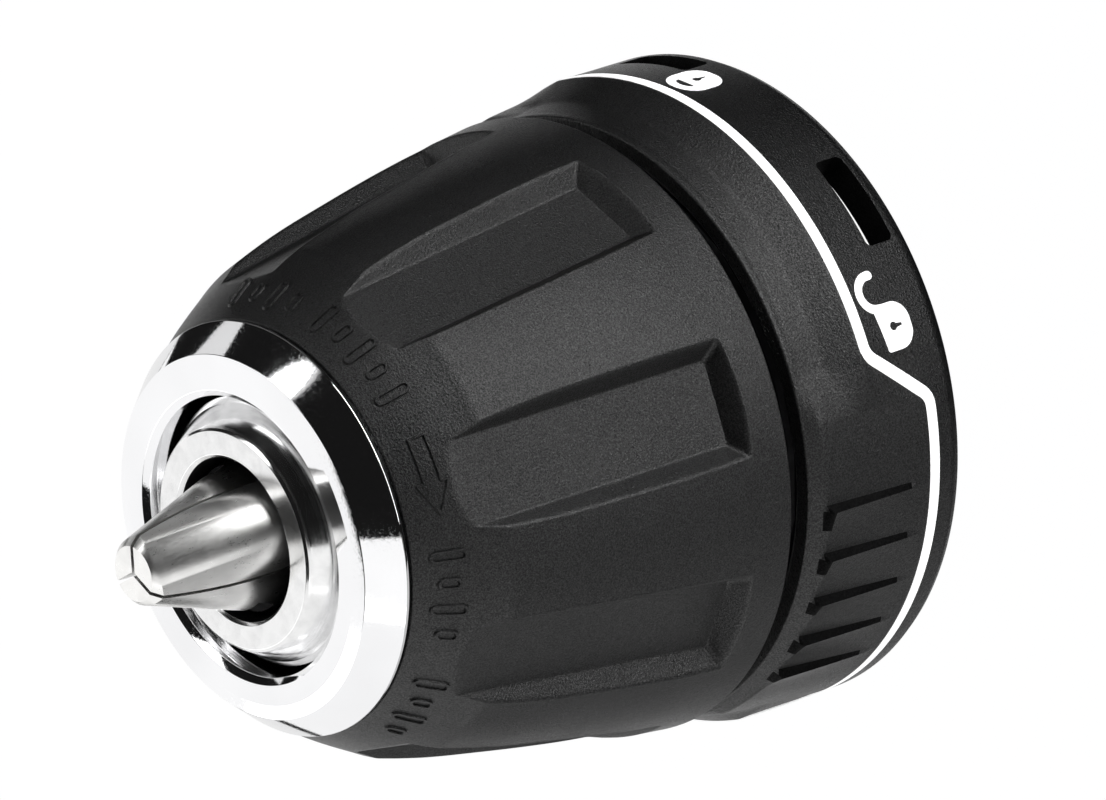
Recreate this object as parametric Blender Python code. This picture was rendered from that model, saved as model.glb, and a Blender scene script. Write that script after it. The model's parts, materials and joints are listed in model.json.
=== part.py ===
"""Keyless drill chuck with a click-on lock ring, modelled piece by piece.

Frame: +Z runs along the spindle axis towards the jaws and the origin is the centre of the rear rim.
Lengths below are millimetres and angles are degrees; the mesh helpers convert them to metres.
"""
import math

import bmesh
import bpy
from mathutils import Matrix, Vector

MM = 0.001
# Turns seams and corners away from the planes that other pieces are cut along.
OFF_SEAM = 4.0
FINE = 48
MEDIUM = 36
ROUND = 24
SMALL = 12

# Jaws: three cylinders on axes tilted to the spindle axis, closed at rest. Their axes and threads are
# set out from the tip height, and their flat ends lie a little behind it.
JAW_TILT = 18.0
JAW_RADIUS = 3.1
JAW_LENGTH = 29.5
JAW_TIP_Z = 56.3
JAW_TIP_RADIUS = 2.1
JAW_END_Z = 56.0
JAW_FLAT_RADIUS = 1.95
JAW_AZIMUTHS = (-80.0, 40.0, 160.0)
JAW_HALF_GAP = 0.15
JAW_HOLE_RADIUS = 3.4
JAW_AXIS_X = JAW_TIP_RADIUS - JAW_RADIUS / math.cos(math.radians(JAW_TILT))

# Thread between the jaws and the split nut, measured along a jaw's axis and across it.
THREAD_PITCH = 2.0
TOOTH_WIDTH = 0.7
TOOTH_GAP = THREAD_PITCH - TOOTH_WIDTH
NUT_CREST_X = JAW_RADIUS - 0.5
NUT_ROOT_X = JAW_RADIUS + 0.35
JAW_ROOT_X = JAW_RADIUS - 0.9
JAW_THREAD_TOP = -11.3
NUT_REAR_Z = 27.3
NUT_FRONT_Z = 32.1

# Chuck body.
BODY_REAR_Z = 13.6
BODY_FRONT_Z = 47.2
MOUTH_RADIUS = 5.87
NOSE_RADIUS = 9.7
FLANGE_RADIUS = 16.6
FLANGE_Z = (19.7, 23.2)

# Outer shells.
SLEEVE_OUTLINE = ((22.25, 15.25), (22.6, 15.7), (21.82, 21.65), (20.65, 28.2), (19.46, 33.9),
                  (18.24, 38.17), (16.3, 41.6), (14.87, 43.72))
# Grip recesses: flat floors as (distance from the axis, z) behind and in front, with sloping walls.
RECESSES = 8
RECESS_FLOOR = ((20.5, 19.3), (16.8, 41.0))
RECESS_HALF_WIDTH = 3.05
RECESS_WALL_SPREAD = 1.2
RECESS_REAR_RUN = 0.5
RING_RADIUS = 23.9
RING_LIP_Z = 13.6
GRIP_CENTRES = (-135.0, 45.0)
GRIP_SWEEP = 78.0
GRIP_RIBS = 5
GRIP_PITCH = 9.4
GRIP_RIB_HEIGHT = 0.6
GRIP_FRONT_RADIUS = 23.0
GRIP_FRONT_Z = 12.6
WINDOWS = (-64.0, -13.0, 116.0, 167.0)
WINDOW_SIZE = (7.3, 2.75)
WINDOW_Z = 2.65

# Bearings.
ICOSAHEDRON_INRADIUS = 0.7947
SPINDLE_BALLS = 7
SPINDLE_BALL_PITCH = 7.2
SPINDLE_BALL_RADIUS = 1.0
SPINDLE_BEARING_Z = (7.6, 11.0)
THRUST_BALLS = 8
THRUST_BALL_PITCH = 14.8
THRUST_BALL_RADIUS = 0.9
THRUST_BALL_Z = 25.2

# Fixings of the rear plate and the lock ring's detents.
SCREW_AZIMUTHS = (45.0, 135.0, 225.0, 315.0)
SCREW_CIRCLE = 13.8
DETENT_AZIMUTHS = (0.0, 180.0)
DETENT_Z = 9.2
UNLOCK_ANGLE = 59.0

MATERIALS = {}


def clear_scene():
    for item in list(bpy.data.objects):
        bpy.data.objects.remove(item, do_unlink=True)


def material(name, colour, roughness, metallic):
    shade = bpy.data.materials.new(name)
    shade.use_nodes = True
    shader = shade.node_tree.nodes["Principled BSDF"]
    shader.inputs["Base Color"].default_value = (*colour, 1.0)
    shader.inputs["Roughness"].default_value = roughness
    shader.inputs["Metallic"].default_value = metallic
    MATERIALS[name] = shade


def make_materials():
    material("black_plastic", (0.018, 0.018, 0.019), 0.55, 0.0)
    material("ring_plastic", (0.014, 0.014, 0.015), 0.5, 0.0)
    material("chrome", (0.82, 0.82, 0.83), 0.08, 1.0)
    material("jaw_steel", (0.62, 0.61, 0.6), 0.25, 1.0)
    material("body_steel", (0.5, 0.5, 0.51), 0.3, 1.0)
    material("bearing_steel", (0.7, 0.7, 0.72), 0.15, 1.0)
    material("spring_steel", (0.35, 0.35, 0.37), 0.35, 1.0)
    material("die_cast", (0.42, 0.42, 0.44), 0.5, 1.0)
    material("brass", (0.65, 0.48, 0.22), 0.35, 1.0)
    material("black_steel", (0.05, 0.05, 0.055), 0.4, 1.0)


def polar(radius, degrees, z):
    angle = math.radians(degrees)
    return Vector((radius * math.cos(angle), radius * math.sin(angle), z))


def add_object(name, verts, faces, shade=None):
    """Makes one object from points in millimetres; without a material it is a hidden cutter."""
    mesh = bpy.data.meshes.new(name)
    mesh.from_pydata([Vector(point) * MM for point in verts], [], faces)
    work = bmesh.new()
    work.from_mesh(mesh)
    bmesh.ops.recalc_face_normals(work, faces=work.faces)
    work.to_mesh(mesh)
    work.free()
    mesh.shade_smooth()
    mesh.set_sharp_from_angle(angle=math.radians(30.0))
    item = bpy.data.objects.new(name, mesh)
    bpy.context.scene.collection.objects.link(item)
    if shade:
        mesh.materials.append(MATERIALS[shade])
    else:
        item.hide_render = True
        item.display_type = "WIRE"
    return item


def boolean(target, tool, operation):
    modifier = target.modifiers.new(tool.name, "BOOLEAN")
    modifier.operation = operation
    modifier.solver = "EXACT"
    modifier.object = tool


def lathe(name, outline, shade=None, segments=ROUND, start=0.0, sweep=360.0):
    """Turns a closed outline of (radius, z) points about Z, all the way round or in part."""
    full = sweep >= 360.0
    steps = segments if full else segments + 1
    verts = []
    rings = []
    for radius, z in outline:
        if radius == 0.0:
            rings.append([len(verts)] * steps)
            verts.append((0.0, 0.0, z))
            continue
        rings.append([len(verts) + step for step in range(steps)])
        verts.extend(polar(radius, start + sweep * step / segments, z) for step in range(steps))
    faces = []
    for lower, upper in zip(rings, rings[1:] + rings[:1]):
        for step in range(segments):
            after = (step + 1) % steps
            corners = [lower[step], lower[after], upper[after], upper[step]]
            corners = list(dict.fromkeys(corners))
            if len(corners) > 2:
                faces.append(corners)
    if not full:
        faces.append([ring[0] for ring in rings])
        faces.append([ring[-1] for ring in reversed(rings)])
    return add_object(name, verts, faces, shade)


def varied_ring(name, stations, z_low, z_high, shade):
    """A flat ring through stations of (angle, outer radius, inner radius) in order of angle."""
    verts = []
    for angle, outer, inner in stations:
        for radius, z in ((outer, z_low), (outer, z_high), (inner, z_high), (inner, z_low)):
            verts.append(polar(radius, angle, z))
    faces = []
    for step in range(len(stations)):
        here = 4 * step
        there = 4 * ((step + 1) % len(stations))
        for side in range(4):
            turn = (side + 1) % 4
            faces.append([here + side, there + side, there + turn, here + turn])
    return add_object(name, verts, faces, shade)


def prism(name, outline, z_low, z_high, shade=None):
    """Extrudes a closed (x, y) outline along Z."""
    count = len(outline)
    verts = [(x, y, z) for z in (z_low, z_high) for x, y in outline]
    faces = [list(range(count)), list(range(count, 2 * count))]
    for step in range(count):
        after = (step + 1) % count
        faces.append([step, after, count + after, count + step])
    return add_object(name, verts, faces, shade)


def circle(radius, sides, phase=0.0):
    return [tuple(polar(radius, phase + 360.0 * side / sides, 0.0).xy) for side in range(sides)]


def ball(name, radius, centre, shade=None, subdivisions=2):
    work = bmesh.new()
    bmesh.ops.create_icosphere(work, subdivisions=subdivisions, radius=radius * MM)
    mesh = bpy.data.meshes.new(name)
    work.to_mesh(mesh)
    work.free()
    mesh.shade_smooth()
    item = bpy.data.objects.new(name, mesh)
    item.location = Vector(centre) * MM
    bpy.context.scene.collection.objects.link(item)
    if shade:
        mesh.materials.append(MATERIALS[shade])
    else:
        item.hide_render = True
        item.display_type = "WIRE"
    return item


def swept(name, sections, shade=None):
    """Joins a row of equal sections, each a list of points, into one closed tube."""
    count = len(sections[0])
    verts = [point for section in sections for point in section]
    faces = [list(range(count)), list(range(len(verts) - count, len(verts)))]
    for row in range(len(sections) - 1):
        for side in range(count):
            turn = (side + 1) % count
            low = row * count
            high = low + count
            faces.append([low + side, low + turn, high + turn, high + side])
    return add_object(name, verts, faces, shade)


def joint_empty(name, matrix):
    empty = bpy.data.objects.new(name, None)
    empty.empty_display_size = 5.0 * MM
    empty.matrix_world = matrix
    bpy.context.scene.collection.objects.link(empty)
    return empty


def jaw_matrix(azimuth):
    """Local +Z runs along a jaw's axis to its tip, and local +X is its outer, threaded side."""
    turn = Matrix.Rotation(math.radians(azimuth), 4, "Z")
    shift = Matrix.Translation(Vector((JAW_AXIS_X, 0.0, JAW_TIP_Z)) * MM)
    tilt = Matrix.Rotation(math.radians(-JAW_TILT), 4, "Y")
    return turn @ shift @ tilt


def jaw_plane(across, along):
    """Radius and height of a point given across and along a jaw's axis."""
    tilt = math.radians(JAW_TILT)
    radius = JAW_AXIS_X + across * math.cos(tilt) - along * math.sin(tilt)
    return radius, JAW_TIP_Z + across * math.sin(tilt) + along * math.cos(tilt)


# ---------------------------------------------------------------- jaws and nut


def tooth_rack(name, azimuth):
    """Grooves across a jaw's outer side, shifted so that they follow the nut's thread."""
    phase = THREAD_PITCH * azimuth / 360.0
    first = math.floor((-JAW_LENGTH - phase) / THREAD_PITCH)
    last = math.floor((JAW_THREAD_TOP - phase) / THREAD_PITCH)
    verts = []
    faces = []
    for turn in range(first, last + 1):
        middle = turn * THREAD_PITCH + phase
        base = len(verts)
        for along in (middle - TOOTH_GAP / 2, middle + TOOTH_GAP / 2):
            for across, side in ((JAW_ROOT_X, -4.0), (5.0, -4.0), (5.0, 4.0), (JAW_ROOT_X, 4.0)):
                verts.append((across, side, along))
        for corners in ((0, 1, 2, 3), (4, 5, 6, 7), (0, 1, 5, 4), (1, 2, 6, 5), (2, 3, 7, 6), (3, 0, 4, 7)):
            faces.append([base + corner for corner in corners])
    return add_object(name, verts, faces)


def wedge(name, azimuth):
    """The third of the space that one jaw may fill near the axis, less half the gap between jaws."""
    apex = polar(JAW_HALF_GAP / math.sin(math.radians(60.0)), azimuth, 0.0)
    left = apex + polar(24.0, azimuth - 60.0, 0.0)
    right = apex + polar(24.0, azimuth + 60.0, 0.0)
    far = apex + polar(30.0, azimuth, 0.0)
    return prism(name, [tuple(point.xy) for point in (apex, left, far, right)], 20.0, JAW_END_Z)


def jaws():
    cone_height = JAW_END_Z - 20.0
    tip_cone = lathe("cut_jaw_tips", [(0.0, 20.0), (JAW_FLAT_RADIUS + cone_height, 20.0),
                                      (JAW_FLAT_RADIUS, JAW_END_Z), (0.0, JAW_END_Z)])
    for number, azimuth in enumerate(JAW_AZIMUTHS, start=1):
        axis = joint_empty(f"jaw_{number}_axis", jaw_matrix(azimuth))
        jaw = lathe(f"jaw_{number}", [(0.0, -JAW_LENGTH), (JAW_RADIUS - 0.3, -JAW_LENGTH),
                                      (JAW_RADIUS, 0.3 - JAW_LENGTH), (JAW_RADIUS, 3.0), (0.0, 3.0)],
                    "jaw_steel", segments=24, start=OFF_SEAM)
        rack = tooth_rack(f"cut_jaw_{number}_teeth", azimuth)
        jaw.parent = axis
        rack.parent = axis
        boolean(jaw, wedge(f"cut_jaw_{number}_wedge", azimuth), "INTERSECT")
        boolean(jaw, tip_cone, "INTERSECT")
        boolean(jaw, rack, "DIFFERENCE")


def thread_groove(name):
    """The helical groove between the nut's thread ridges, following the cone of the jaws."""
    per_turn = 30
    sections = []
    for step in range(-17 * per_turn, -12 * per_turn + 1):
        along = THREAD_PITCH * (step / per_turn + 0.5)
        section = []
        for across, offset in ((NUT_CREST_X - 0.6, -0.5), (NUT_ROOT_X, -0.5),
                               (NUT_ROOT_X, 0.5), (NUT_CREST_X - 0.6, 0.5)):
            radius, z = jaw_plane(across, along + offset * TOOTH_GAP)
            section.append(polar(radius, 360.0 * step / per_turn, z))
        sections.append(section)
    return swept(name, sections)


def crest_radius(z):
    tilt = math.radians(JAW_TILT)
    along = (z - JAW_TIP_Z - NUT_CREST_X * math.sin(tilt)) / math.cos(tilt)
    return jaw_plane(NUT_CREST_X, along)[0]


def jaw_nut():
    groove = thread_groove("cut_nut_thread")
    for side, name in ((-1.0, "jaw_nut_a"), (1.0, "jaw_nut_b")):
        half = lathe(name, [(crest_radius(NUT_REAR_Z), NUT_REAR_Z), (16.4, NUT_REAR_Z), (16.4, 28.2),
                            (14.9, 28.2), (14.9, NUT_FRONT_Z), (crest_radius(NUT_FRONT_Z), NUT_FRONT_Z)],
                     "bearing_steel", start=OFF_SEAM)
        edge = 0.15 * side
        far = 20.0 * side
        boolean(half, groove, "DIFFERENCE")
        boolean(half, prism(f"cut_{name}", [(edge, -20.0), (far, -20.0), (far, 20.0), (edge, 20.0)],
                            26.0, 34.0), "INTERSECT")
    lathe("nut_band", [(15.2, 28.5), (16.4, 28.5), (16.4, 31.8), (15.2, 31.8)], "spring_steel")


# ---------------------------------------------------------------- body and bearings


def chuck_body():
    body = lathe("chuck_body", [
        (3.6, BODY_REAR_Z), (8.3, BODY_REAR_Z), (8.8, 14.1), (8.8, FLANGE_Z[0]),
        (FLANGE_RADIUS, FLANGE_Z[0]), (FLANGE_RADIUS, FLANGE_Z[1]), (8.2, FLANGE_Z[1]),
        (8.2, 34.7), (NOSE_RADIUS, 34.7), (NOSE_RADIUS, 44.9), (9.5, 45.2),
        (7.94, BODY_FRONT_Z - 0.1), (7.8, BODY_FRONT_Z), (6.1, BODY_FRONT_Z),
        (MOUTH_RADIUS, BODY_FRONT_Z - 0.25), (MOUTH_RADIUS, 40.0), (2.9, 39.0), (2.9, 29.4),
        (1.95, 29.4), (1.95, 26.5), (3.6, 26.5)], "body_steel", segments=MEDIUM, start=OFF_SEAM)
    for number, azimuth in enumerate(JAW_AZIMUTHS, start=1):
        hole = prism(f"cut_body_jaw_hole_{number}", circle(JAW_HOLE_RADIUS, 24), -48.0, 2.0)
        hole.matrix_world = jaw_matrix(azimuth)
        boolean(body, hole, "DIFFERENCE")


def spindle():
    shaft = lathe("spindle", [
        (0.0, 5.2), (3.9, 5.2), (4.0, 5.4), (4.0, 6.2), (3.1, 6.2), (3.1, 7.4), (4.0, 7.4), (4.0, 11.3),
        (5.4, 11.3), (5.4, 12.7), (6.5, 12.7), (6.5, 13.3), (3.3, 13.3), (3.3, 26.2),
        (1.95, 26.2), (1.95, 21.0), (0.0, 21.0)], "bearing_steel", segments=20, start=OFF_SEAM)
    shank = prism("cut_spindle_shank", circle(3.175 / math.cos(math.radians(30.0)), 6, 30.0), 1.2, 5.8)
    boolean(shaft, shank, "UNION")
    lathe("spindle_circlip", [(3.4, 6.5), (5.2, 6.5), (5.2, 7.1), (3.4, 7.1)], "spring_steel",
          segments=20, start=20.0, sweep=320.0)
    screw = lathe("chuck_screw", [(0.0, 22.0), (1.5, 22.0), (1.5, 29.7), (2.6, 29.7), (2.6, 31.6),
                                  (2.4, 31.9), (0.0, 31.9)], "black_steel", segments=SMALL)
    boolean(screw, prism("cut_screw_socket", circle(1.45, 6, OFF_SEAM), 30.4, 33.0), "DIFFERENCE")


def caged_balls(prefix, count, pitch, radius, z, cage_half_height, cage_half_width):
    """A row of balls, each its own piece, in a ring with a pocket for every ball."""
    pocket_radius = (radius + 0.2) / ICOSAHEDRON_INRADIUS
    cage = lathe(f"{prefix}_cage", [
        (pitch - cage_half_width, z - cage_half_height), (pitch + cage_half_width, z - cage_half_height),
        (pitch + cage_half_width, z + cage_half_height), (pitch - cage_half_width, z + cage_half_height)],
        "brass", segments=ROUND)
    for number in range(1, count + 1):
        centre = polar(pitch, 360.0 * number / count, z)
        ball(f"{prefix}_ball_{number}", radius, centre, "bearing_steel")
        pocket = ball(f"cut_{prefix}_pocket_{number}", pocket_radius, centre, subdivisions=1)
        boolean(cage, pocket, "DIFFERENCE")


def spindle_bearing():
    low, high = SPINDLE_BEARING_Z
    lathe("bearing_inner_race", [(4.3, low), (5.9, low), (5.9, high), (4.3, high)], "bearing_steel")
    lathe("bearing_outer_race", [(8.5, low), (10.2, low), (10.2, high), (8.5, high)], "bearing_steel")
    caged_balls("bearing", SPINDLE_BALLS, SPINDLE_BALL_PITCH, SPINDLE_BALL_RADIUS,
                (low + high) / 2, 1.69, 0.5)


def thrust_bearing():
    lathe("thrust_washer_rear", [(13.1, 23.4), (16.5, 23.4), (16.5, 24.0), (13.1, 24.0)], "bearing_steel")
    lathe("thrust_washer_front", [(13.1, 26.4), (16.5, 26.4), (16.5, 27.0), (13.1, 27.0)], "bearing_steel")
    caged_balls("thrust", THRUST_BALLS, THRUST_BALL_PITCH, THRUST_BALL_RADIUS, THRUST_BALL_Z, 0.45, 1.55)


def ratchet():
    """The toothed ring on the body and the spring pawl in the sleeve that holds the grip closed."""
    teeth = 18
    pitch = 360.0 / teeth
    stations = []
    for tooth in range(teeth):
        stations += [(tooth * pitch, 11.6, 10.0), ((tooth + 0.95) * pitch, 12.3, 10.0)]
    varied_ring("ratchet_ring", stations, 35.6, 37.8, "bearing_steel")
    spring = lathe("pawl_spring", [(13.9, 35.7), (14.6, 35.7), (14.6, 37.7), (13.9, 37.7)],
                   "spring_steel", start=15.0, sweep=330.0)
    for azimuth in (90.0, 270.0):
        tip = polar(12.7, azimuth + 6.0, 0.0)
        root = polar(14.2, azimuth - 8.0, 0.0)
        heel = polar(14.2, azimuth + 6.0, 0.0)
        pawl = prism(f"cut_pawl_{azimuth:.0f}", [tuple(point.xy) for point in (tip, root, heel)], 36.0, 37.4)
        boolean(spring, pawl, "UNION")


# ---------------------------------------------------------------- grip sleeve and nose


def recess_cutters(name):
    """Eight tapered blocks: each leaves a flat panel that is deep behind and runs out in front."""
    verts = []
    faces = []
    (rear, rear_z), (front, front_z) = RECESS_FLOOR
    rise = 4.0
    rear_top_z = rear_z - RECESS_REAR_RUN * rise
    rear_top = rear + rise + (rear_z - rear_top_z) * (rear - front) / (front_z - rear_z)
    spread = RECESS_HALF_WIDTH + RECESS_WALL_SPREAD * rise
    for number in range(RECESSES):
        turn = Matrix.Rotation(math.radians(45.0 * number), 3, "Z")
        base = len(verts)
        for distance, half_width, z in ((rear, RECESS_HALF_WIDTH, rear_z), (front, RECESS_HALF_WIDTH, front_z),
                                        (front + rise, spread, front_z), (rear_top, spread, rear_top_z)):
            verts.append(turn @ Vector((distance, -half_width, z)))
            verts.append(turn @ Vector((distance, half_width, z)))
        for corners in ((0, 1, 3, 2), (2, 3, 5, 4), (4, 5, 7, 6), (6, 7, 1, 0), (0, 2, 4, 6), (1, 7, 5, 3)):
            faces.append([base + corner for corner in corners])
    return add_object(name, verts, faces)


def grip_sleeve():
    inside = [(13.6, 43.72), (13.6, 39.4), (15.0, 38.2), (16.8, 34.6), (16.8, 28.4), (18.0, 27.0),
              (18.9, 20.0), (19.5, 17.0), (19.7, 15.25)]
    sleeve = lathe("grip_sleeve", list(SLEEVE_OUTLINE) + inside, "black_plastic", segments=FINE)
    boolean(sleeve, recess_cutters("cut_sleeve_recesses"), "DIFFERENCE")
    lathe("nose_ring", [(14.87, 44.0), (13.1, 46.2), (12.8, 46.45), (12.4, 46.6), (10.5, 46.6),
                        (10.07, 46.2), (10.07, 40.0), (13.2, 40.0), (13.3, 40.3), (13.3, 44.0)],
          "chrome", segments=MEDIUM)
    lathe("sleeve_snap_ring", [(15.9, 18.2), (18.6, 18.2), (18.6, 19.0), (15.9, 19.0)],
          "spring_steel", start=-165.0, sweep=330.0)
    lathe("dust_shield", [(17.0, 16.0), (19.2, 16.0), (19.2, 16.8), (17.0, 16.8)], "ring_plastic")


# ---------------------------------------------------------------- lock ring and housing


def grip_pad(name, centre):
    """The raised ground of one grip, which carries the ring's rear cylinder forward."""
    return lathe(name, [(22.0, 7.2), (23.6, 7.2), (23.6, GRIP_FRONT_Z), (22.8, 13.1), (22.1, 13.3), (22.0, 13.2)],
                 segments=10, start=centre - GRIP_SWEEP / 2, sweep=GRIP_SWEEP)


def grip_relief(name, centre):
    """Trims one grip to a cone, so that its ribs stand out at their front ends."""
    return lathe(name, [(23.95, 3.9), (GRIP_FRONT_RADIUS, GRIP_FRONT_Z), (22.8, 14.2), (25.0, 14.2), (25.0, 3.9)],
                 segments=10, start=centre - GRIP_SWEEP / 2 + 1.0, sweep=GRIP_SWEEP - 2.0)


def grip_rib(name, azimuth):
    """A wedge-shaped rib: a sharp step on one side that slopes back into the pad."""
    rear_z = 4.2
    front_z = GRIP_FRONT_Z - 0.2
    low = azimuth - GRIP_PITCH * 0.8
    verts = [polar(GRIP_FRONT_RADIUS - 0.6, azimuth, front_z),
             polar(GRIP_FRONT_RADIUS + GRIP_RIB_HEIGHT, azimuth, front_z),
             polar(GRIP_FRONT_RADIUS - 0.1, low, front_z),
             polar(RING_RADIUS - 1.2, azimuth, rear_z),
             polar(RING_RADIUS - 0.25, azimuth, rear_z),
             polar(RING_RADIUS - 0.45, low, rear_z)]
    faces = [[0, 1, 2], [3, 5, 4], [0, 3, 4, 1], [1, 4, 5, 2], [2, 5, 3, 0]]
    return add_object(name, verts, faces)


def lock_ring():
    ring = lathe("lock_ring", [
        (22.9, 0.0), (23.6, 0.35), (RING_RADIUS, 1.0), (RING_RADIUS, 8.3), (23.5, 9.0), (22.5, 11.0),
        (22.25, 11.9), (22.3, 12.8), (22.0, RING_LIP_Z), (21.1, RING_LIP_Z), (20.4, 13.0), (20.4, 10.5),
        (17.5, 10.5), (17.5, 7.9), (20.4, 7.9), (21.7, 6.9), (21.7, 0.0)],
        "ring_plastic", segments=FINE)
    for centre in GRIP_CENTRES:
        boolean(ring, grip_pad(f"cut_grip_pad_{centre:.0f}", centre), "UNION")
        boolean(ring, grip_relief(f"cut_grip_relief_{centre:.0f}", centre), "DIFFERENCE")
        for number in range(GRIP_RIBS):
            azimuth = centre + GRIP_PITCH * (2.1 - number)
            boolean(ring, grip_rib(f"cut_grip_rib_{azimuth:.0f}", azimuth), "UNION")
    half_width = WINDOW_SIZE[0] / 2
    half_height = WINDOW_SIZE[1] / 2
    for azimuth in WINDOWS:
        window = prism(f"cut_window_{azimuth:.0f}",
                       [(20.0, -half_width), (26.0, -half_width), (26.0, half_width), (20.0, half_width)],
                       WINDOW_Z - half_height, WINDOW_Z + half_height)
        window.rotation_euler.z = math.radians(azimuth)
        boolean(ring, window, "DIFFERENCE")
    for azimuth in DETENT_AZIMUTHS:
        for turn in (0.0, -UNLOCK_ANGLE):
            dent = ball(f"cut_detent_dent_{azimuth + turn:.0f}", 1.1, polar(17.2, azimuth + turn, DETENT_Z),
                        subdivisions=1)
            dent.rotation_euler = (0.4, 0.2, 0.1)
            boolean(ring, dent, "DIFFERENCE")


def bayonet_ring():
    """A steel ring inside the skirt whose three tabs hook behind the tool's nose."""
    stations = []
    for tab in range(3):
        first = 120.0 * tab
        stations += [(first + 8.0 * step, 21.4, 17.6) for step in range(6)]
        stations += [(first + 40.5 + 8.8 * step, 21.4, 19.6) for step in range(10)]
    varied_ring("bayonet_ring", stations, 4.2, 5.4, "bearing_steel")


def housing():
    cover = lathe("adapter_housing", [
        (17.1, 7.6), (17.1, 10.8), (19.4, 10.8), (19.4, 12.1), (19.1, 12.4), (7.0, 12.4), (7.0, 11.3),
        (10.5, 11.3), (10.5, 7.6)], "die_cast")
    plate = lathe("base_plate", [(9.0, 5.7), (19.1, 5.7), (19.4, 6.0), (19.4, 7.3), (9.0, 7.3)], "die_cast")
    for number, azimuth in enumerate(SCREW_AZIMUTHS, start=1):
        x, y = polar(SCREW_CIRCLE, azimuth, 0.0).xy
        blind = prism(f"cut_screw_hole_{number}", circle(1.25, SMALL), 5.0, 11.6)
        blind.location = Vector((x, y, 0.0)) * MM
        boolean(cover, blind, "DIFFERENCE")
        boolean(plate, blind, "DIFFERENCE")
        screw = lathe(f"base_screw_{number}", [(0.0, 4.6), (1.5, 4.6), (1.8, 4.8), (1.8, 5.5), (0.9, 5.5),
                                               (0.9, 11.2), (0.0, 11.2)], "black_steel", segments=SMALL)
        screw.location = Vector((x, y, 0.0)) * MM
        socket = prism(f"cut_screw_drive_{number}", circle(0.8, 6, OFF_SEAM), 4.0, 5.1)
        socket.location = screw.location
        boolean(screw, socket, "DIFFERENCE")
    for number, azimuth in enumerate(DETENT_AZIMUTHS, start=1):
        along = Matrix.Rotation(math.radians(azimuth), 4, "Z") @ Matrix.Rotation(math.radians(90.0), 4, "Y")
        bore = prism(f"cut_detent_bore_{number}", circle(1.15, SMALL, OFF_SEAM), 12.6, 18.0)
        bore.matrix_world = Matrix.Translation((0.0, 0.0, DETENT_Z * MM)) @ along
        boolean(cover, bore, "DIFFERENCE")
        ball(f"detent_ball_{number}", 0.85, polar(16.35, azimuth, DETENT_Z), "bearing_steel")
        detent_spring(f"detent_spring_{number}", azimuth)


def detent_spring(name, azimuth):
    """A small coil spring lying along the radius behind a detent ball."""
    turns = 3.0
    per_turn = 8
    count = int(turns * per_turn)
    start = 12.95
    length = 1.75
    coil_radius = 0.68
    wire = 0.15
    sections = []
    for step in range(count + 1):
        angle = math.radians(360.0 * step / per_turn)
        reach = start + length * step / count
        section = []
        for side in range(4):
            around = math.radians(90.0 * side)
            radius = coil_radius + wire * math.cos(around)
            section.append(Vector((reach + wire * math.sin(around), radius * math.cos(angle),
                                   DETENT_Z + radius * math.sin(angle))))
        sections.append([Matrix.Rotation(math.radians(azimuth), 3, "Z") @ point for point in section])
    swept(name, sections, "spring_steel")


def main():
    clear_scene()
    make_materials()
    jaws()
    jaw_nut()
    chuck_body()
    spindle()
    spindle_bearing()
    thrust_bearing()
    ratchet()
    grip_sleeve()
    lock_ring()
    bayonet_ring()
    housing()


main()
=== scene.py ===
"""Looks of a keyless drill chuck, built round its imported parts.

Lengths in this script are millimetres and angles are degrees; the mesh helpers turn them into metres.
Azimuths turn about +Z, the spindle's axis. The camera looks from an azimuth of about -86.
"""
import json
import math

import bmesh
import bpy
import numpy as np
from mathutils import Matrix, Vector


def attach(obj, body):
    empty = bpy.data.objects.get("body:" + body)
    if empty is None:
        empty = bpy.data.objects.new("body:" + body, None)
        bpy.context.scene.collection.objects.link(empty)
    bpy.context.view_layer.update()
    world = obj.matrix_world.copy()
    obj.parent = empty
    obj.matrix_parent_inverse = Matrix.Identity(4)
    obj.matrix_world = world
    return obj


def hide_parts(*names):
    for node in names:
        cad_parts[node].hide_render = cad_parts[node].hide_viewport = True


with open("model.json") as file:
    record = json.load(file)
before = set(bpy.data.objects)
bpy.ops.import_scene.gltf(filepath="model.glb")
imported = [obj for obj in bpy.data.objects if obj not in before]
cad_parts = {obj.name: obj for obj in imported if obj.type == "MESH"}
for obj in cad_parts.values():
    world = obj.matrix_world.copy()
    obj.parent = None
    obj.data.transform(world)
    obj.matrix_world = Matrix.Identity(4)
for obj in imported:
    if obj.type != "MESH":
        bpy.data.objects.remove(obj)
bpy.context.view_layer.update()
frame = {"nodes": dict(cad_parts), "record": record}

MM = 0.001

# Camera.
CAMERA_TARGET = (1.643, 8.115, 10.192)
CAMERA_DISTANCE = 580.0
CAMERA_AZIMUTH = -85.885
CAMERA_ELEVATION = 38.504
CAMERA_ROLL = 108.416
CAMERA_LENS = 260.4
CAMERA_SENSOR = 36.0
CAMERA_CLIP = (10.0, 20000.0)

# Stage: the floor's flat part, the radius of its rise and its gap under the chuck.
FLOOR_FLAT = 2500.0
FLOOR_RISE = 1500.0
FLOOR_GAP = 0.02
FLOOR_SEGMENTS = 64
WORLD_GREY = 0.008
LIGHT_DISTANCE = 700.0
LIGHT_TARGET_Z = 30.0
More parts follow.
